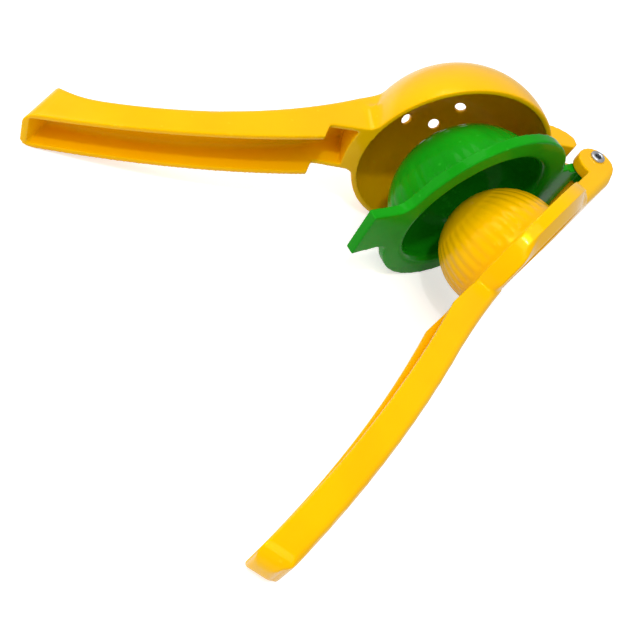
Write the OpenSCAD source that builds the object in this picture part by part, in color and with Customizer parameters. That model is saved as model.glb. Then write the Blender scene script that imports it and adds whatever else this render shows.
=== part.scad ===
// Hinged lemon squeezer: a perforated bowl, a smaller cup-shaped insert and a ribbed
// pressing dome, three castings that all turn on one rivet. It lies half open on its side.
//
// Each casting is drawn shut, with the pin of the hinge at the origin, +X along the grips,
// +Y from the bowl towards the press and the pin along Z. place() turns it open and lays
// the whole tool on the table, with the origin on the table under the middle of the tool.

/* [Bowl] */
// Outside radius of the bowl
bowl_r = 37.5; // [36.5:0.1:38.5]
// Wall of the bowl
bowl_wall = 2; // [1.6:0.1:2.6]
// Distance from the hinge pin to the axis of the bowl
bowl_x = 51.2; // [50.6:0.1:52.2]
// Drop of the bowl's rim below the hinge pin
rim_drop = 3.4; // [3.3:0.1:3.8]
// Diameter of a drain hole
drain_d = 4.4; // [3:0.1:5]
// Drain holes in the ring round the middle one
drain_n = 6; // [4:1:8]
// Angle of the ring of drain holes away from the bowl's pole
drain_angle = 20.5; // [16:0.5:26]

/* [Grips] */
// Length of the bowl's grip from the hinge pin to its tip
grip_len = 210; // [202:1:216]
// Width of a grip beside the bowl
grip_root_w = 21; // [20:0.2:21]
// Width of a grip at its tip
grip_tip_w = 14.6; // [13.4:0.2:16]
// Wall of the grip's channel
grip_wall = 1.9; // [1.6:0.1:2.4]
// Radius of the open edge along a grip, as seen from the side
edge_r = 448; // [400:4:500]
// Height of the open edge above the pin where it is highest
edge_top = 12.3; // [11:0.1:13]
// Radius of the back of the bowl's grip, as seen from the side
back_r = 220; // [200:2:250]
// Depth of the bowl's grip where it is thinnest
bowl_grip_depth = 11.7; // [10:0.1:12.6]
// Depth of the press's grip, the same all along
press_grip_depth = 9.5; // [8.4:0.1:11]
// Gap between the edges of the two grips when shut
grip_gap = 0.8; // [0.5:0.1:1.5]
// Rounding of a grip's long back corners
grip_round = 2.2; // [1.2:0.1:2.8]
// Rounding of a grip's tip, as seen from above
tip_round = 4; // [2.5:0.1:5]
// Lean of the bowl grip's tip away from square
tip_lean = 32; // [20:1:38]

/* [Insert] */
// Radius of the insert's flange
flange_r = 37.2; // [36:0.1:38]
// Thickness of the flange
flange_t = 4; // [3.4:0.1:4.1]
// Distance from the hinge pin to the axis of the insert
insert_x = 50.2; // [49.6:0.1:51]
// Outside radius of the insert's cup
cup_r = 30; // [29:0.1:31]
// Wall of the insert's cup
cup_wall = 2; // [1.6:0.1:2.4]
// Rounding of the lip between flange and cup
lip_r = 3; // [2:0.1:3.6]
// Reach of the lifting tab from the hinge pin
tab_x = 101.3; // [98:0.1:102.5]
// Width of the lifting tab at its end
tab_w = 20.2; // [18:0.2:22]
// Shallow flutes round the outside of the cup
cup_flutes = 36; // [24:1:48]
// Juice slots through the bottom of the cup
slot_n = 6; // [4:1:8]

/* [Press] */
// Radius of the press's round head
head_r = 34; // [33:0.1:35]
// Distance from the hinge pin to the axis of the press
press_x = 52.3; // [51.5:0.1:53]
// Thickness of the head
head_t = 7.6; // [6.6:0.1:8.4]
// Height of the head's front above the hinge pin
head_y = 1.8; // [1.7:0.1:2.4]
// Outside radius of the pressing dome
dome_r = 22.1; // [20:0.1:23]
// Wall of the pressing dome
dome_wall = 2.2; // [1.8:0.1:2.8]
// Flutes that make the ribs round the dome
dome_flutes = 36; // [24:1:44]
// Rounding of the head's back edge
head_round = 3.5; // [2:0.1:4]

/* [Hinge] */
// Diameter of the rivet's shank
pin_d = 4; // [3.6:0.1:4.6]
// Clearance all round the rivet in the castings that turn on it
pin_gap = 0.05; // [0.03:0.01:0.08]
// Radius of a hinge knuckle
knuckle_r = 5; // [4.4:0.1:5.2]
// Width over the two ears of the press
hinge_w = 38.6; // [36:0.2:40]
// Thickness of an ear
ear_t = 4.4; // [3.6:0.1:5]
// Width of the bowl's knuckle in the middle
mid_knuckle_w = 15.8; // [13:0.2:18]
// Gap between one knuckle and the next
knuckle_gap = 0.3; // [0.2:0.05:0.5]
// Radius of an ear
ear_r = 7.3; // [6.8:0.1:7.4]

/* [Pose] */
// How far the press is opened from the bowl
press_open = 42.1; // [38:0.1:46]
// How far the insert is opened from the bowl
insert_open = 21; // [17:0.1:24]

/* [Hidden] */
$fn = 96;
channel_round = 2; // inside the channel of a grip
yellow = [0.98, 0.78, 0.02];
green = [0.10, 0.55, 0.10];
silver = [0.75, 0.76, 0.78];
big = 400;

// Grips: both open edges are arcs about one centre, so they meet all along when shut
edge_c = [grip_len - 12, edge_top - edge_r];
back_c = [grip_len - 26, edge_top - bowl_grip_depth - back_r];
press_edge_r = edge_r + grip_gap;
press_back_r = press_edge_r + press_grip_depth;
press_end = grip_len - 2.2;
grip_root_x = bowl_x + bowl_r + 6;
grip_slope = (grip_root_w - grip_tip_w) / 2 / (grip_len - grip_root_x);
taper = atan(grip_slope);
half_plane = (grip_root_w / 2 + grip_slope * grip_root_x) * cos(taper);
function grip_half(x) = grip_root_w / 2 - grip_slope * (x - grip_root_x);
function edge_y(x) = edge_c[1] + sqrt(edge_r * edge_r - pow(x - edge_c[0], 2));
function back_y(x) = back_c[1] + sqrt(back_r * back_r - pow(x - back_c[0], 2));

// The flare that ends the bowl grip's back, the throat that blends the press's grip into its
// head, and the notch that takes the insert's tab
flare_r = 28;
flare_c = [back_c[0] + 1, back_c[1] + back_r - flare_r - 0.08];
press_throat_r = 300;
notch_x = tab_x + 3.1;
notch_r = 2.5;
land = 5;

// Hinge: the ears stand outside the insert's two knuckles, the bowl's knuckle in the middle
ear_c = [2.6, 1.2];
pin_r = pin_d / 2;
ear_in = hinge_w / 2 - ear_t;
insert_half = ear_in - knuckle_gap;
insert_in = mid_knuckle_w / 2 + knuckle_gap;
flange_back = -rim_drop + 0.5;
flange_front = flange_back + flange_t;
cup_y = flange_front - lip_r;
lug_c = [18.5, 1.5];
lug_r = 15.15;
lug_x = 7.1;
head_back = head_y + head_t;
dome_y = head_y - 2.3;
pan_r = head_r - 6;
pan_y = head_y + 2.4;

// How it lies: on the edge of the insert's flange and the lower corner of each grip's tip
lean = atan2(edge_top + 1.7, grip_len);
bowl_turn = -press_open / 2 - lean;
insert_turn = bowl_turn + insert_open;
press_turn = bowl_turn + press_open;
tip_x = (grip_len - tip_round) * cos(press_open / 2) - 1.2;
tip_z = grip_half(grip_len - tip_round) - tip_round;
rest_x = tip_x - insert_x * cos(insert_turn);
tilt = asin((flange_r - tip_round) / norm([rest_x, tip_z])) - atan2(tip_z, rest_x);
pin_z = insert_x * cos(insert_turn) * sin(tilt) + flange_r;
mid_x = (grip_len * cos(press_open / 2) * cos(tilt) - ear_r - 1.8) / 2;
mid_y = -2.56;

module place(turn) {
    translate([-mid_x, -mid_y, pin_z]) rotate([0, tilt, 0]) rotate([0, 0, turn]) children();
}

// The upper half of a grip, down to the middle plane: a rounded section turned about the
// centre of the curve of its back, then leaned by half the grip's taper. The section lies
// outside the back's curve (side = 1) or inside it (side = -1)
module grip_sweep(c, r, side, depth, start, turn, inset = 0, corner = grip_round) {
    half = half_plane - inset;
    back = r + side * inset;
    intersection() {
        rotate([0, taper, 0]) translate([c[0], c[1], 0]) rotate([0, 0, start])
            rotate_extrude(angle = turn, $fn = 360) difference() {
                translate([side > 0 ? back : back - depth, -1]) square([depth, half + 1]);
                translate([back + side * corner, half - corner]) difference() {
                    translate([side > 0 ? -2 * corner : 0, 0]) square([2 * corner, 2 * corner]);
                    circle(corner);
                }
            }
        translate([0, -big / 2, 0]) cube([big, big, big]);
    }
}

module both_sides() {
    children();
    mirror([0, 0, 1]) children();
}

// A half circle turned about Y, facing -Y, with its flat side on y = 0
module half_ball(r) {
    rotate([-90, 0, 0]) rotate_extrude($fn = 180) intersection() {
        circle(r);
        translate([0, -r]) square([r, r]);
    }
}

module disc(r, y0, y1) {
    translate([0, y0, 0]) rotate([-90, 0, 0]) cylinder(r = r, h = y1 - y0, $fn = 180);
}

// A drawing in the plane of x and z, pulled up from y0 to y1
module plate(y0, y1) {
    translate([0, y1, 0]) rotate([90, 0, 0]) linear_extrude(y1 - y0) children();
}

// A side view pulled out along the pin, from z0 to z1
module side(z0, z1) {
    translate([0, 0, z0]) linear_extrude(z1 - z0) children();
}

// Round-bottomed flutes down the outside of a ball of radius r about Y, each with a ball end
module flutes(r, n, tube, sink, sweep) {
    for (i = [0 : n - 1]) rotate([0, (i + 0.5) * 360 / n, 0]) rotate([0, 0, -sweep]) {
        rotate_extrude(angle = sweep, $fn = 144) translate([r + tube - sink, 0])
            circle(tube, $fn = 24);
        translate([r + tube - sink, 0, 0]) sphere(tube, $fn = 24);
    }
}

// ---- Bowl ----

// Region of the side view that the bowl's grip fills: under the open edge, clear of the
// notch for the tab, and cut off by the leaning tip
module bowl_side() {
    difference() {
        intersection() {
            translate(edge_c) circle(edge_r, $fn = 720);
            polygon([[bowl_x, -40], [grip_len - 0.4 - tan(tip_lean) * (edge_top + 40), -40],
                     [grip_len - 0.4, edge_top], [grip_len - 0.4, edge_top + 9],
                     [bowl_x, edge_top + 9]]);
        }
        notch();
    }
}

module notch() {
    lean = 24;
    // Corner circle that touches the land and the leaning face of the notch
    cx = notch_x - notch_r * tan(45 - lean / 2);
    reach = 30;
    union() {
        polygon([[bowl_x - 60, -rim_drop], [cx, -rim_drop], [cx, -rim_drop + notch_r],
                 [cx + notch_r * cos(lean), -rim_drop + notch_r - notch_r * sin(lean)],
                 [cx + notch_r * cos(lean) + reach * sin(lean),
                  -rim_drop + notch_r - notch_r * sin(lean) + reach * cos(lean)],
                 [bowl_x - 60, -rim_drop + reach]]);
        translate([cx, -rim_drop + notch_r]) circle(notch_r);
    }
}

// One half of the grip of the bowl: its back and the flare at the tip
module bowl_grip_half(inset = 0) {
    corner = inset == 0 ? grip_round : channel_round;
    grip_sweep(back_c, back_r, 1, 34, 80, 50, inset, corner);
    if (inset == 0) grip_sweep(flare_c, flare_r, 1, 6, 50, 40, 0, corner);
}

// The tip's two upright corners, rounded along its lean
module tip_corners(x, y, lean, r, half) {
    both_sides() translate([x, y, 0]) rotate([0, 0, -lean]) rotate([90, 0, 0])
        translate([-r, half - r, -30]) linear_extrude(60) difference() {
            square([r + 3, r + 4]);
            circle(r, $fn = 48);
        }
}

module bowl_grip() {
    difference() {
        intersection() {
            both_sides() bowl_grip_half();
            side(-20, 20) bowl_side();
        }
        tip_corners(grip_len - 0.4, edge_top, tip_lean, tip_round,
            grip_half(grip_len - tip_round));
    }
}

// The channel, open towards the press, from a round end wall by the bowl to the tip
module bowl_channel() {
    difference() {
        intersection() {
            both_sides() bowl_grip_half(grip_wall);
            side(-20, 20) polygon([[bowl_x + bowl_r, -40],
                [grip_len - 0.4 - grip_wall / cos(tip_lean) - tan(tip_lean) * (edge_top + 40), -40],
                [grip_len - 0.4 - grip_wall / cos(tip_lean), edge_top],
                [grip_len - 0.4 - grip_wall / cos(tip_lean) + 5, edge_top + 9],
                [bowl_x + bowl_r, edge_top + 9]]);
        }
        translate([bowl_x, -rim_drop, 0]) sphere(bowl_r + land, $fn = 180);
    }
}

// The block behind the bowl that reaches back to the hinge
module bowl_lug() {
    w = hinge_w / 2;
    side(-w, w) {
        intersection() {
            translate(lug_c) circle(lug_r);
            polygon([[lug_x, -30], [lug_x, -rim_drop - 1.7], [lug_x + 1.9, -rim_drop],
                     [lug_c[0] + 4, -rim_drop], [lug_c[0] + 4, -30]]);
        }
        translate([lug_c[0], lug_c[1] - lug_r]) square([12, lug_r - lug_c[1] - rim_drop]);
    }
    // Fillets between the lug's sides and the bowl
    r = 3;
    fx = bowl_x - sqrt(pow(bowl_r + r, 2) - pow(w + r, 2));
    plate(lug_c[1] - lug_r, -rim_drop) for (s = [-1, 1]) scale([1, s]) difference() {
        polygon([[fx, w - 3], [fx, w], [bowl_x + (fx - bowl_x) * bowl_r / (bowl_r + r),
                 (w + r) * bowl_r / (bowl_r + r)], [fx + 9, w - 3]]);
        translate([fx, w + r]) circle(r, $fn = 48);
    }
}

// Knuckle in the middle of the hinge and the neck that ties it to the lug
module bowl_knuckle() {
    far = [9.5, -10.3];
    a = atan2(far[1], far[0]) - acos(knuckle_r / norm(far));
    side(-mid_knuckle_w / 2, mid_knuckle_w / 2) {
        circle(knuckle_r);
        polygon([[0, 0], knuckle_r * [cos(a), sin(a)], far, far + [4, 0],
                 [far[0] + 4, -rim_drop], [sqrt(pow(knuckle_r, 2) - pow(rim_drop, 2)), -rim_drop]]);
    }
}

// Side walls of the grip spread into the bowl's rim with fillets
module bowl_grip_fillets() {
    r = 5;
    w = grip_half(bowl_x + bowl_r + 2);
    fx = bowl_x + sqrt(pow(bowl_r + r, 2) - pow(w + r, 2));
    plate(-rim_drop - 12, -rim_drop) for (s = [-1, 1]) scale([1, s]) difference() {
        polygon([[fx, w - 2], [fx, w], [bowl_x + (fx - bowl_x) * bowl_r / (bowl_r + r),
                 (w + r) * bowl_r / (bowl_r + r)], [fx - 9, w - 2]]);
        translate([fx, w + r]) circle(r, $fn = 48);
    }
}

module drain_holes() {
    for (i = [0 : drain_n - 1]) rotate([0, i * 360 / drain_n, 0]) rotate([0, 0, drain_angle])
        disc(drain_d / 2, -bowl_r - 4, -bowl_r / 2);
    disc(drain_d / 2, -bowl_r - 4, -bowl_r / 2);
}

module bowl() {
    color(yellow) place(bowl_turn) difference() {
        union() {
            translate([bowl_x, -rim_drop, 0]) half_ball(bowl_r);
            bowl_grip();
            bowl_grip_fillets();
            bowl_lug();
            bowl_knuckle();
        }
        translate([bowl_x, -rim_drop, 0]) sphere(bowl_r - bowl_wall, $fn = 180);
        bowl_channel();
        translate([bowl_x, -rim_drop, 0]) drain_holes();
        cylinder(r = pin_r + pin_gap, h = hinge_w, center = true, $fn = 64);
    }
}

// ---- Insert ----

// The flange from above: a ring with the lifting tab on one side and the hinge on the other
module flange_plan() {
    r = 6;
    neck = tab_w / 2 - 0.6;
    fx = insert_x + sqrt(pow(flange_r + r, 2) - pow(neck + r, 2));
    translate([insert_x, 0]) circle(flange_r, $fn = 180);
    for (s = [-1, 1]) scale([1, s]) difference() {
        polygon([[insert_x, 0], [insert_x + (fx - insert_x) * flange_r / (flange_r + r),
                 (neck + r) * flange_r / (flange_r + r)], [fx, neck], [tab_x, tab_w / 2],
                 [tab_x, 0]]);
        translate([fx, neck + r]) circle(r, $fn = 48);
    }
    arm = [0, ear_c[0] + ear_r + 1.3, ear_c[0] + ear_r + 3.7, insert_x - 0.7 * flange_r];
    wide = insert_half + 2;
    polygon([[arm[0], -insert_half], [arm[1], -insert_half], [arm[2], -wide], [arm[3], -wide],
             [arm[3], wide], [arm[2], wide], [arm[1], insert_half], [arm[0], insert_half]]);
}

module insert_slots() {
    for (i = [0 : slot_n - 1]) rotate([0, i * 360 / slot_n, 0]) plate(-cup_r - 3, -cup_r / 2) {
        translate([5, -1.2]) square([6, 2.4]);
        for (x = [5, 11]) translate([x, 0]) circle(1.2, $fn = 32);
    }
}

module insert() {
    color(green) place(insert_turn) difference() {
        union() {
            plate(flange_back, flange_front) flange_plan();
            translate([insert_x, cup_y, 0]) half_ball(cup_r);
            both_sides() translate([0, 0, insert_in])
                cylinder(r = knuckle_r, h = insert_half - insert_in);
        }
        // Hollow of the cup and its rounded lip
        translate([insert_x, cup_y, 0]) {
            rotate([-90, 0, 0]) rotate_extrude($fn = 180) difference() {
                union() {
                    intersection() {
                        circle(cup_r - cup_wall);
                        translate([0, -cup_r]) square([cup_r, cup_r]);
                    }
                    square([cup_r - cup_wall + lip_r, lip_r + 1]);
                }
                translate([cup_r - cup_wall + lip_r, 0]) circle(lip_r, $fn = 48);
            }
            flutes(cup_r, cup_flutes, 1.8, 0.3, 30);
            insert_slots();
        }
        // Room for the bowl's knuckle
        side(-insert_in, insert_in) {
            circle(knuckle_r + 0.5);
            translate([-knuckle_r - 1, -knuckle_r - 1]) square([2 * knuckle_r + 1.7, 2 * knuckle_r + 2]);
        }
        cylinder(r = pin_r + pin_gap, h = hinge_w, center = true, $fn = 64);
    }
}

// ---- Press ----

module press_grip_half(inset = 0) {
    corner = inset == 0 ? grip_round : channel_round;
    grip_sweep(edge_c, press_back_r, -1, 16, 87, 24, inset, corner);
    if (inset == 0) press_throat(corner);
}

// Large circle behind the head that blends the head's back into the grip's back
module press_throat(corner) {
    cy = head_back + press_throat_r - 0.05;
    d = press_back_r + press_throat_r - 0.05;
    c = [edge_c[0] - sqrt(d * d - pow(cy - edge_c[1], 2)), cy];
    end = 360 + atan2(edge_c[1] - cy, edge_c[0] - c[0]);
    grip_sweep(c, press_throat_r, 1, 6, 268, end - 269, 0, corner);
}

module press_grip() {
    end = press_end;
    back_lean = 16;
    difference() {
        intersection() {
            both_sides() press_grip_half();
            side(-20, 20) difference() {
                polygon([[press_x, head_y], [end, head_y], [end, edge_top + 1.5],
                         [end - tan(back_lean) * 20, edge_top + 21.5], [press_x, edge_top + 21.5]]);
                translate(edge_c) circle(press_edge_r, $fn = 720);
            }
        }
        tip_corners(end, edge_top + 1.5, -back_lean, tip_round, grip_half(press_end - tip_round));
    }
}

module press_channel() {
    end = press_end - grip_wall;
    difference() {
        intersection() {
            both_sides() press_grip_half(grip_wall);
            side(-20, 20) polygon([[press_x, -30], [end, -30], [end, edge_top + 1.5],
                [end - tan(16) * 20, edge_top + 21.5], [press_x, edge_top + 21.5]]);
        }
        translate([press_x, 0, 0]) disc(head_r + grip_wall, -60, 60);
    }
}

// Round head with its rounded back edge
module press_head() {
    translate([press_x, 0, 0]) rotate([-90, 0, 0]) rotate_extrude($fn = 180) {
        translate([0, head_y]) square([head_r - head_round, head_t]);
        translate([0, head_y]) square([head_r, head_t - head_round]);
        translate([head_r - head_round, head_back - head_round]) circle(head_round, $fn = 48);
    }
}

// The two ears and the block that joins them to the head
module press_hinge() {
    w = hinge_w / 2;
    a = 110;
    back = head_back + 0.5;
    difference() {
        intersection() {
            side(-w, w) {
                translate(ear_c) circle(ear_r);
                polygon([ear_c, ear_c + ear_r * [cos(a), sin(a)], [5, back],
                         [32, head_back], [32, head_y], [ear_c[0] + ear_r - 0.2, head_y]]);
            }
            translate([-20, 0, 0]) rotate([90, 0, 90]) linear_extrude(60) {
                translate([-20, -w]) square([20 + back - head_round, 2 * w]);
                translate([0, head_round - w]) square([back, 2 * (w - head_round)]);
                for (s = [-1, 1]) translate([back - head_round, s * (w - head_round)])
                    circle(head_round, $fn = 48);
            }
        }
        // Room for the knuckles, and for the insert's flange when shut
        side(-ear_in, ear_in) {
            translate([-20, -20]) square([20 + knuckle_r + 4.2, 40]);
            translate([-20, -20]) square([20 + ear_c[0] + ear_r + 1, 20 + head_y]);
        }
    }
}

module press() {
    color(yellow) place(press_turn) difference() {
        union() {
            press_head();
            translate([press_x, dome_y, 0]) half_ball(dome_r);
            translate([press_x, 0, 0]) disc(dome_r, dome_y, head_y + 0.5);
            press_grip();
            press_hinge();
        }
        // Back of the head: a shallow pan that falls into the hollow of the dome
        translate([press_x, 0, 0]) rotate([-90, 0, 0]) rotate_extrude($fn = 180) difference() {
            union() {
                translate([0, dome_y]) intersection() {
                    circle(dome_r - dome_wall);
                    translate([0, -dome_r]) square([dome_r, dome_r]);
                }
                translate([0, dome_y]) square([dome_r - dome_wall + 2, pan_y - dome_y]);
                translate([0, pan_y]) square([pan_r, head_t]);
            }
            translate([dome_r - dome_wall + 2, pan_y - 2]) circle(2, $fn = 48);
            translate([dome_r - dome_wall, dome_y - 1]) square([2, pan_y - 1 - dome_y]);
        }
        translate([press_x, dome_y, 0]) flutes(dome_r, dome_flutes, 1.3, 0.45, 44);
        press_channel();
        cylinder(r = pin_r, h = 2 * hinge_w, center = true, $fn = 64);
    }
}

// ---- Rivet ----

// Shank with a domed head under the lower ear and a rolled hollow end on the upper ear
module rivet() {
    top = hinge_w / 2;
    roll = 0.4 * pin_r;
    color(silver) place(press_turn) difference() {
        union() {
            translate([0, 0, -top - roll]) cylinder(r = pin_r, h = 2 * top + 1.3 * roll, $fn = 64);
            translate([0, 0, -top]) rotate_extrude($fn = 96) intersection() {
                translate([0, 1.3 * pin_r]) circle(2.1 * pin_r);
                translate([0, -pin_r]) square([2 * pin_r, pin_r]);
            }
            rotate_extrude($fn = 96) intersection() {
                translate([pin_r + 0.05, top + 0.15 * pin_r]) circle(roll, $fn = 32);
                translate([0.3 * pin_r, top]) square([1.5 * pin_r, pin_r]);
            }
        }
        translate([0, 0, top - 1.5 * pin_r])
            cylinder(r = pin_r - roll + 0.15, h = 3 * pin_r, $fn = 48);
    }
}

bowl();
insert();
press();
rivet();
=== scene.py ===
"""Hinged lemon squeezer: enamelled castings round a steel rivet, on a plain pale floor."""
import math

import bpy
import numpy as np
from mathutils import Matrix, Vector


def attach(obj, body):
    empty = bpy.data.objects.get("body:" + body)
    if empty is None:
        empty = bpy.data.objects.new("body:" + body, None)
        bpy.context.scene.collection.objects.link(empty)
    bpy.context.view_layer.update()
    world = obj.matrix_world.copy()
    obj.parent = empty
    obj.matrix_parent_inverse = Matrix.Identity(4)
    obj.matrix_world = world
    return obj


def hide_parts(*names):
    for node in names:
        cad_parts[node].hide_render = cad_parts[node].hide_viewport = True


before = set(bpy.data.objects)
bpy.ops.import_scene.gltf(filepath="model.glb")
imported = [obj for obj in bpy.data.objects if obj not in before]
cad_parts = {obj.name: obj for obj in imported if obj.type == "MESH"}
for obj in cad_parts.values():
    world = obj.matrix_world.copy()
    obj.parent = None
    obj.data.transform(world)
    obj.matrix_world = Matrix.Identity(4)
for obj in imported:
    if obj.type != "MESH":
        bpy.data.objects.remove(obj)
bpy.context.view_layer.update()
scene = bpy.context.scene


# ---------------------------------------------------------------- small helpers
def srgb(r, g, b):
    """A colour written as 0-255 screen values, as the linear colour that a shader takes."""
    def lin(c):
        c /= 255
        return c / 12.92 if c <= 0.04045 else ((c + 0.055) / 1.055) ** 2.4
    return (lin(r), lin(g), lin(b), 1)


class Nodes:
    """A material's node tree, with short calls for the nodes that are used here."""

    def __init__(self, name):
        self.mat = bpy.data.materials.new(name)
        self.mat.use_nodes = True
        self.tree = self.mat.node_tree
        self.tree.nodes.clear()
        self.out = self.tree.nodes.new("ShaderNodeOutputMaterial")

    def add(self, kind, **values):
        node = self.tree.nodes.new("ShaderNode" + kind)
        for key, value in values.items():
            setattr(node, key, value)
        return node

    def link(self, a, b):
        self.tree.links.new(a, b)

    def noise(self, coord, scale, detail=2.0, rough=0.5, distort=0.0):
        node = self.add("TexNoise")
        node.inputs["Scale"].default_value = scale
        node.inputs["Detail"].default_value = detail
        node.inputs["Roughness"].default_value = rough
        node.inputs["Distortion"].default_value = distort
        self.link(coord, node.inputs["Vector"])
        return node.outputs["Fac"]

    def ramp(self, fac, stops, mode="EASE"):
        node = self.add("ValToRGB")
        node.color_ramp.interpolation = mode
        elements = node.color_ramp.elements
        while len(elements) < len(stops):
            elements.new(0.5)
        for element, (place, value) in zip(elements, stops):
            element.position = place
            element.color = value if isinstance(value, tuple) else (value, value, value, 1)
        self.link(fac, node.inputs["Fac"])
        return node.outputs["Color"]

    def mix(self, fac, a, b, blend="MIX"):
        node = self.add("Mix", data_type="RGBA", blend_type=blend)
        for socket, value in ((0, fac), (6, a), (7, b)):
            if isinstance(value, (int, float, tuple)):
                node.inputs[socket].default_value = value
            else:
                self.link(value, node.inputs[socket])
        return node.outputs[2]

    def math(self, operation, a, b=0.0):
        node = self.add("Math", operation=operation)
        for socket, value in ((0, a), (1, b)):
            if isinstance(value, (int, float)):
                node.inputs[socket].default_value = value
            else:
                self.link(value, node.inputs[socket])
        return node.outputs[0]

    def bump(self, height, strength, distance, normal=None):
        node = self.add("Bump")
        node.inputs["Strength"].default_value = strength
        node.inputs["Distance"].default_value = distance
        self.link(height, node.inputs["Height"])
        if normal:
            self.link(normal, node.inputs["Normal"])
        return node.outputs["Normal"]


# ---------------------------------------------------------------- materials
def enamel(name, main, deep_tone_and_shade, pale, gloss, shine, coat):
    """Glossy baked enamel on a casting: darker in corners and creases as painted shade, lighter
    on sharp edges as a painted highlight, with a soft orange peel, slow waves of the casting and
    a few dull handled patches.
    gloss is the roughness of the clean enamel, shine its own reflection, coat its clear layer."""
    n = Nodes(name)
    place = n.add("TexCoord").outputs["Object"]
    shader = n.add("BsdfPrincipled")
    n.link(shader.outputs["BSDF"], n.out.inputs["Surface"])

    cloud = n.noise(place, 38, 3)
    speck = n.noise(place, 700, 2, 0.6)
    bend = n.add("NewGeometry").outputs["Pointiness"]
    base = n.mix(n.ramp(cloud, [(0.35, 0.0), (0.65, 0.35)]), main, deep_tone_and_shade)
    base = n.mix(n.ramp(speck, [(0.60, 0.0), (0.75, 0.10)]), base, deep_tone_and_shade)
    # Painted shade: concave corners and creases (low pointiness) take the darker colour
    base = n.mix(n.ramp(bend, [(0.40, 0.55), (0.49, 0.0)]), base, deep_tone_and_shade)
    # Painted highlight: sharp convex edges (high pointiness) take the lighter colour
    base = n.mix(n.ramp(bend, [(0.52, 0.0), (0.60, 0.45)]), base, pale)
    n.link(base, shader.inputs["Base Color"])

    handled = n.noise(place, 55, 4, 0.6)
    rough = n.ramp(handled, [(0.35, gloss), (0.70, gloss + 0.10)])
    n.link(rough, shader.inputs["Roughness"])
    peel = n.noise(place, 900, 1)
    wave = n.noise(place, 120, 1)
    normal = n.bump(wave, 0.35, 0.0003)
    normal = n.bump(peel, 0.10, 0.00006, normal)
    n.link(normal, shader.inputs["Normal"])
    shader.inputs["IOR"].default_value = 1.5
    shader.inputs["Specular IOR Level"].default_value = shine
    shader.inputs["Specular Tint"].default_value = main
    shader.inputs["Coat Weight"].default_value = coat
    shader.inputs["Coat Roughness"].default_value = 0.03
    return n.mat


def plated_steel(name):
    """Plated rivet steel: cloudy plating, fine scratches, and creases darkened as painted shade.
    """
    n = Nodes(name)
    place = n.add("TexCoord").outputs["Object"]
    shader = n.add("BsdfPrincipled")
    n.link(shader.outputs["BSDF"], n.out.inputs["Surface"])
    cloud = n.noise(place, 260, 4, 0.6)
    bend = n.add("NewGeometry").outputs["Pointiness"]
    base = n.mix(cloud, srgb(214, 216, 220), srgb(178, 180, 184))
    # Painted shade: concave creases take a darker grey
    base = n.mix(n.ramp(bend, [(0.38, 0.6), (0.50, 0.0)]), base, srgb(120, 118, 114))
    n.link(base, shader.inputs["Base Color"])
    scratch = n.noise(place, 2400, 3, 0.7, 1.5)
    n.link(n.ramp(scratch, [(0.35, 0.34), (0.70, 0.52)]), shader.inputs["Roughness"])
    n.link(n.bump(scratch, 0.25, 0.00005), shader.inputs["Normal"])
    shader.inputs["Metallic"].default_value = 1.0
    return n.mat


yellow = enamel("yellow_enamel", srgb(255, 196, 0), srgb(252, 178, 0), srgb(255, 208, 30),
                gloss=0.16, shine=0.5, coat=0.12)
green = enamel("green_enamel", srgb(24, 157, 20), srgb(6, 116, 10), srgb(50, 176, 44),
               gloss=0.12, shine=0.06, coat=0.09)
steel = plated_steel("plated_steel")


# ---------------------------------------------------------------- castings
# Where the hinge pin is, how the tool leans on the floor, and how far each half is turned
PIN = (-91.2185, 2.56, 47.8116)
LEAN = math.radians(12.2318)
BOWL_TURN = math.radians(-24.8641)
INSERT_TURN = math.radians(-3.8641)
PRESS_TURN = math.radians(17.2359)

# Sizes in mm, in each half's own axes: x along it, y to its open side, z along the pin.
# The middles of the bowl's ball, the insert's cup and the press's dome
BOWL_X, BOWL_Y, BOWL_R = 51.2, -3.4, 37.5
CUP_X, CUP_Y = 50.2, -1.9
DOME_X, DOME_Y = 52.3, -0.5
# The press's round head, from the side of its dome to its back
HEAD_R, HEAD_FRONT, HEAD_BACK = 34.0, 1.8, 9.4
# Half the width of both grips, and where they have it. They taper from there to the tip
GRIP_HALF, GRIP_X = 10.5, 94.7
# The end of the press's grip: upright from its mouth to where it starts to lean
TIP_X, TIP_MOUTH, TIP_BEND = 207.8, 13.0, 13.8
TIP_LEAN = math.radians(16)


def own_axes(turn):
    """Rotation from a half's own axes (x along it, y to its open side, z along the pin)."""
    return np.array(Matrix.Rotation(LEAN, 3, "Y") @ Matrix.Rotation(turn, 3, "Z"))


def soft_step(low, high, value):
    """0 below low, 1 above high, and a smooth rise between them."""
    t = np.clip((value - low) / (high - low), 0, 1)
    return t * t * (3 - 2 * t)


def from_middle(x, y, z, middle_x, middle_y):
    """Distance from the middle of a ball."""
    return np.sqrt((x - middle_x) ** 2 + (y - middle_y) ** 2 + z ** 2)


def corner_cut(a, b, r, where):
    """How far a point that lies a and b inside two faces moves in, onto a corner of radius r."""
    p, q = r - a, r - b
    far = np.hypot(p, q)
    pull = np.where((p > 0) & (q > 0) & (far > r) & where, 1 - r / np.maximum(far, 1e-9), 0)
    return p * pull, q * pull


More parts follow.
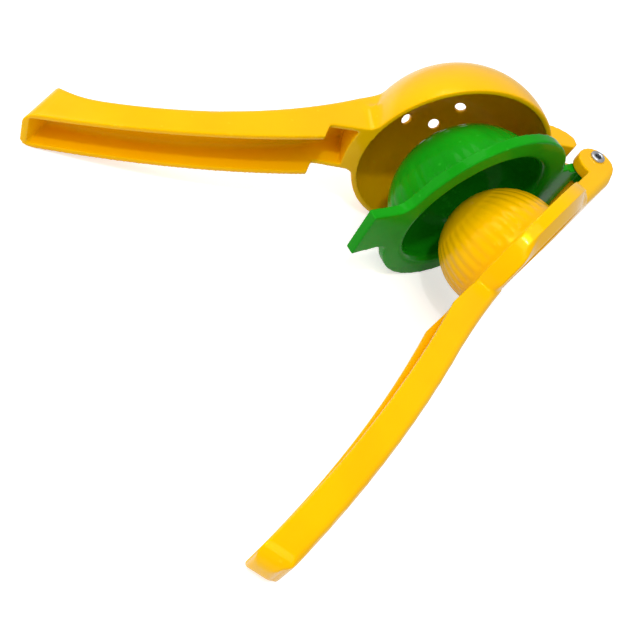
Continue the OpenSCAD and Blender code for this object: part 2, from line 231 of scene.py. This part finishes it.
def shape_head(x, y, z):
    """The press's head: its back slopes from a thin rim up to the mouth of its hollow, and
    towards the grip its rim stands full and square."""
    rim, slope, run = 4.3, 0.56, 8
    away = np.hypot(x - DOME_X, z)
    angle = np.degrees(np.arctan2(np.abs(z), x - DOME_X))
    sloped = soft_step(40, 60, angle) * (1 - soft_step(128, 140, angle))
    limit = HEAD_FRONT + rim + np.clip(HEAD_R - away, 0, run) * slope
    cut = np.clip(y - limit, 0, None) * sloped * (away < HEAD_R + 1.5)

    # The solid's rounded edge grows out towards a square one
    edge_r, share = 3.5, 0.8
    p, q = (away - HEAD_R + edge_r) / edge_r, (y - HEAD_BACK + edge_r) / edge_r
    at_edge = (p > 0) & (q > 0) & (np.hypot(p, q) < 1.1) & (angle < 75) & (y > 0)
    to_square = 1 / np.maximum(np.maximum(p, q), 0.6) - 1
    grow = np.where(at_edge, to_square, 0) * share * (1 - sloped) * soft_step(18, 27, angle)
    out = grow * p * edge_r
    return (x + out * (x - DOME_X) / away, y - cut + grow * q * edge_r,
            z + out * z / away)


def shape_tip(x, y, z):
    """The tip of the press's grip: its back corner, its two upright corners and the edge over
    its mouth are rounded."""
    taper, at_tip = 0.02775, x > 190
    back_x, back_y, back_r = 198, -435.7, 458.3
    cos, sin = math.cos(TIP_LEAN), math.sin(TIP_LEAN)

    def from_end(x, y):
        return (TIP_X - x) * cos - np.clip(y - TIP_BEND, 0, None) * sin

    end = from_end(x, y)
    back = np.sqrt(back_r ** 2 - (x - back_x) ** 2) + back_y - y
    side = GRIP_HALF - taper * (x - GRIP_X) - np.abs(z)
    cut_end, cut_back = corner_cut(end, back, 4.0, at_tip)
    x, y = x - cut_end * cos, y - cut_back - cut_end * sin
    cut_end, cut_side = corner_cut(end + cut_end, side, 6.2, at_tip)
    x, y, z = x - cut_end * cos, y - cut_end * sin, z - np.sign(z) * cut_side
    cut_end, cut_mouth = corner_cut(from_end(x, y), y - TIP_MOUTH, 3.2, x > 203)
    return x - cut_end * cos, y + cut_mouth, z


def shape_press(x, y, z):
    """The whole press, from its own axes to its own axes."""
    return shape_tip(*shape_head(x, y, z))


def shape_bowl(x, y, z):
    """The back of the bowl is a plain ball. The root of its grip ends inside that ball."""
    ball = from_middle(x, y, z, BOWL_X, BOWL_Y)
    by_root = (x > 45) & (x < 64) & (y < -15)
    pull = np.where((ball > BOWL_R) & by_root, BOWL_R / ball, 1)
    return BOWL_X + (x - BOWL_X) * pull, BOWL_Y + (y - BOWL_Y) * pull, z * pull


def grip_root(x, y, z):
    """How much a point of the bowl is softened: the fillet where its grip runs into the ball."""
    taper, back_x, back_y, back_r = 0.028, 184, -219.4, 220
    ball = from_middle(x, y, z, BOWL_X, BOWL_Y) - BOWL_R
    back = back_y + np.sqrt(np.clip(back_r ** 2 - (x - back_x) ** 2, 0, None))
    grip = np.maximum(np.abs(z) - GRIP_HALF + taper * (x - GRIP_X), back - y)
    near = 1 - soft_step(1.5, 7.0, np.maximum(ball, grip))
    return near * (ball > -0.7) * (grip > -0.7) * (1 - soft_step(-8, -5, y)) * (x > 70)


def cup_flutes(x, y, z):
    """The insert's flutes are shallow runs under thick enamel."""
    ball = from_middle(x, y, z, CUP_X, CUP_Y)
    return 1.0 * (ball > 28.9) * (ball < 30.6) * (1 - soft_step(-8, -5, y))


def press_runs(x, y, z):
    """So are the ribs of the press's dome, and enamel fills the corner of head and grip."""
    corner_x = 84.6
    ball = from_middle(x, y, z, DOME_X, DOME_Y)
    ribs = 0.5 * (ball > 21.0) * (ball < 22.7) * (1 - soft_step(-1.5, 1, y))
    corner = 1 - soft_step(0.8, 2.6, np.hypot(x - corner_x, np.abs(z) - GRIP_HALF))
    return np.maximum(ribs, corner)


# Size of the cells of a casting's mesh, in metres
FINE, COARSE = 0.0004, 0.0007


def casting(node, body, material, turn, soften, runs, reshape=None):
    """The CAD node's form with the soft corners and run-out fillets of an enamelled casting.
    reshape moves its points, soften says how much each of them is smoothed, runs how often."""
    voxel, passes = ((FINE, 4))
    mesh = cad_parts[node].data.copy()
    piece = bpy.data.objects.new(node + "_casting", mesh)
    scene.collection.objects.link(piece)

    def settle():
        bpy.context.view_layer.update()
        shot = piece.evaluated_get(bpy.context.evaluated_depsgraph_get())
        ready = bpy.data.meshes.new_from_object(shot)
        last = piece.data
        piece.modifiers.clear()
        piece.data = ready
        bpy.data.meshes.remove(last)
        return ready

    remesh = piece.modifiers.new("skin", "REMESH")
    remesh.mode = "VOXEL"
    remesh.voxel_size = voxel
    ready = settle()
    axes = own_axes(turn)
    points = np.empty(len(ready.vertices) * 3)
    ready.vertices.foreach_get("co", points)
    local = (points.reshape(-1, 3) * 1000 - PIN) @ axes
    if reshape:
        local = np.stack(reshape(*local.T), axis=1)
        ready.vertices.foreach_set("co", ((local @ axes.T + PIN) / 1000).ravel())
    amount = soften(*local.T)
    group = piece.vertex_groups.new(name="soft")
    for level in range(1, 9):
        chosen = np.flatnonzero(np.round(amount * 8) == level)
        if len(chosen):
            group.add(chosen.tolist(), level / 8, "REPLACE")
    fillet = piece.modifiers.new("fillet", "SMOOTH")
    fillet.factor = 0.5
    fillet.iterations = int(round(runs * (FINE / voxel) ** 2))
    fillet.vertex_group = "soft"
    smooth = piece.modifiers.new("soft", "SMOOTH")
    smooth.factor = 0.5
    smooth.iterations = passes
    ready = settle()
    piece.vertex_groups.clear()
    ready.name = node + "_casting"
    ready.materials.clear()
    ready.materials.append(material)
    ready.polygons.foreach_set("use_smooth", [True] * len(ready.polygons))
    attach(piece, body)
    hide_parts(node)
    return piece


casting("bowl", "bowl", yellow, BOWL_TURN, grip_root, runs=110,
        reshape=shape_bowl)
casting("insert", "insert", green, INSERT_TURN, cup_flutes, runs=26)
casting("press", "press", yellow, PRESS_TURN, press_runs, runs=36,
        reshape=shape_press)
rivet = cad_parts["rivet"]
for number in range(len(rivet.data.materials)):
    rivet.material_slots[number].link = "OBJECT"
    rivet.material_slots[number].material = steel


# ---------------------------------------------------------------- floor and backdrop
# The floor's own light, and the share of it that glossy surfaces see
FLOOR_GLOW, GLOSSY_SHARE = 0.60, 0.3
# The backdrop's light on the tool, and as the camera sees it
WORLD_LIGHT, WORLD_SEEN = 0.48, 1.0


def floor():
    """A pale paper floor. The glow is seen by the camera and, in part, by glossy surfaces."""
    size = 3.0
    mesh = bpy.data.meshes.new("floor")
    mesh.from_pydata([(-size, -size, 0), (size, -size, 0), (size, size, 0), (-size, size, 0)], [],
                     [(0, 1, 2, 3)])
    piece = bpy.data.objects.new("floor", mesh)
    scene.collection.objects.link(piece)
    piece.location.z = -0.0001
    n = Nodes("floor_paper")
    rays = n.add("LightPath")
    seen = n.math("MAXIMUM", rays.outputs["Is Camera Ray"], rays.outputs["Is Transmission Ray"])
    glossy = n.math("MULTIPLY", rays.outputs["Is Glossy Ray"], GLOSSY_SHARE)
    seen = n.math("MAXIMUM", seen, glossy)
    paper = n.add("BsdfDiffuse")
    grain = n.noise(n.add("TexCoord").outputs["Object"], 60, 2)
    n.link(n.mix(grain, (0.80, 0.80, 0.80, 1), (0.82, 0.82, 0.82, 1)), paper.inputs["Color"])
    glow = n.add("Emission")
    glow.inputs["Color"].default_value = (1, 1, 1, 1)
    n.link(n.math("MULTIPLY", seen, FLOOR_GLOW), glow.inputs["Strength"])
    both = n.add("AddShader")
    n.link(paper.outputs[0], both.inputs[0])
    n.link(glow.outputs[0], both.inputs[1])
    n.link(both.outputs[0], n.out.inputs["Surface"])
    mesh.materials.append(n.mat)


floor()


def backdrop():
    """White where the camera sees it, and a dimmer soft light on the tool."""
    world = bpy.data.worlds.new("studio")
    scene.world = world
    world.use_nodes = True
    tree = world.node_tree
    tree.nodes.clear()
    rays = tree.nodes.new("ShaderNodeLightPath")
    pick = tree.nodes.new("ShaderNodeMath")
    pick.operation = "MAXIMUM"
    tree.links.new(rays.outputs["Is Camera Ray"], pick.inputs[0])
    tree.links.new(rays.outputs["Is Transmission Ray"], pick.inputs[1])
    choose = tree.nodes.new("ShaderNodeMixShader")
    tree.links.new(pick.outputs[0], choose.inputs[0])
    for socket, strength in ((1, WORLD_LIGHT), (2, WORLD_SEEN)):
        light = tree.nodes.new("ShaderNodeBackground")
        light.inputs["Color"].default_value = (1, 1, 1, 1)
        light.inputs["Strength"].default_value = strength
        tree.links.new(light.outputs[0], choose.inputs[socket])
    sky = tree.nodes.new("ShaderNodeOutputWorld")
    tree.links.new(choose.outputs[0], sky.inputs["Surface"])


backdrop()


# ---------------------------------------------------------------- camera
CAMERA_AT = Vector((0.2297, 0.1030, 0.1877))
CAMERA_TURN = (math.radians(39.42), math.radians(-27.35), math.radians(148.29))
# The picture's side, the focal length and the point straight ahead of the lens, in pixels
SIDE, FOCAL, AHEAD_X, AHEAD_Y = 640, 850, 233.45, 325.46
SENSOR = 36
camera = bpy.data.objects.new("camera", bpy.data.cameras.new("camera"))
scene.collection.objects.link(camera)
camera.location = CAMERA_AT
camera.rotation_euler = CAMERA_TURN
camera.data.sensor_width = SENSOR
camera.data.lens = FOCAL / SIDE * SENSOR
camera.data.shift_x = (SIDE / 2 - AHEAD_X) / SIDE
camera.data.shift_y = (AHEAD_Y - SIDE / 2) / SIDE
camera.data.clip_start = 0.01
scene.camera = camera


# ---------------------------------------------------------------- lamps
bpy.context.view_layer.update()
VIEW = camera.rotation_euler.to_matrix()


def softbox(name, right, up, back, width, height, power):
    """A soft lamp. Its place is given as seen by the camera, from the middle of the tool."""
    middle = Vector((0.0, 0.0, 0.035))
    at = middle + VIEW @ Vector((right, up, back))
    data = bpy.data.lights.new(name, "AREA")
    data.shape = "RECTANGLE"
    data.size, data.size_y = width, height
    data.energy = power
    lamp = bpy.data.objects.new(name, data)
    scene.collection.objects.link(lamp)
    lamp.location = at
    lamp.rotation_euler = (middle - at).to_track_quat("-Z", "Y").to_euler()


softbox("key", -0.10, 0.80, 0.45, 0.60, 0.45, 2.4)
softbox("left", -0.72, 0.50, 0.45, 0.50, 0.50, 1.0)
softbox("near", 0.12, 0.28, 0.95, 0.60, 0.60, 3.1)
softbox("flash", 0.017, 0.251, 0.876, 0.05, 0.05, 1.5)

scene.view_settings.view_transform = "Standard"
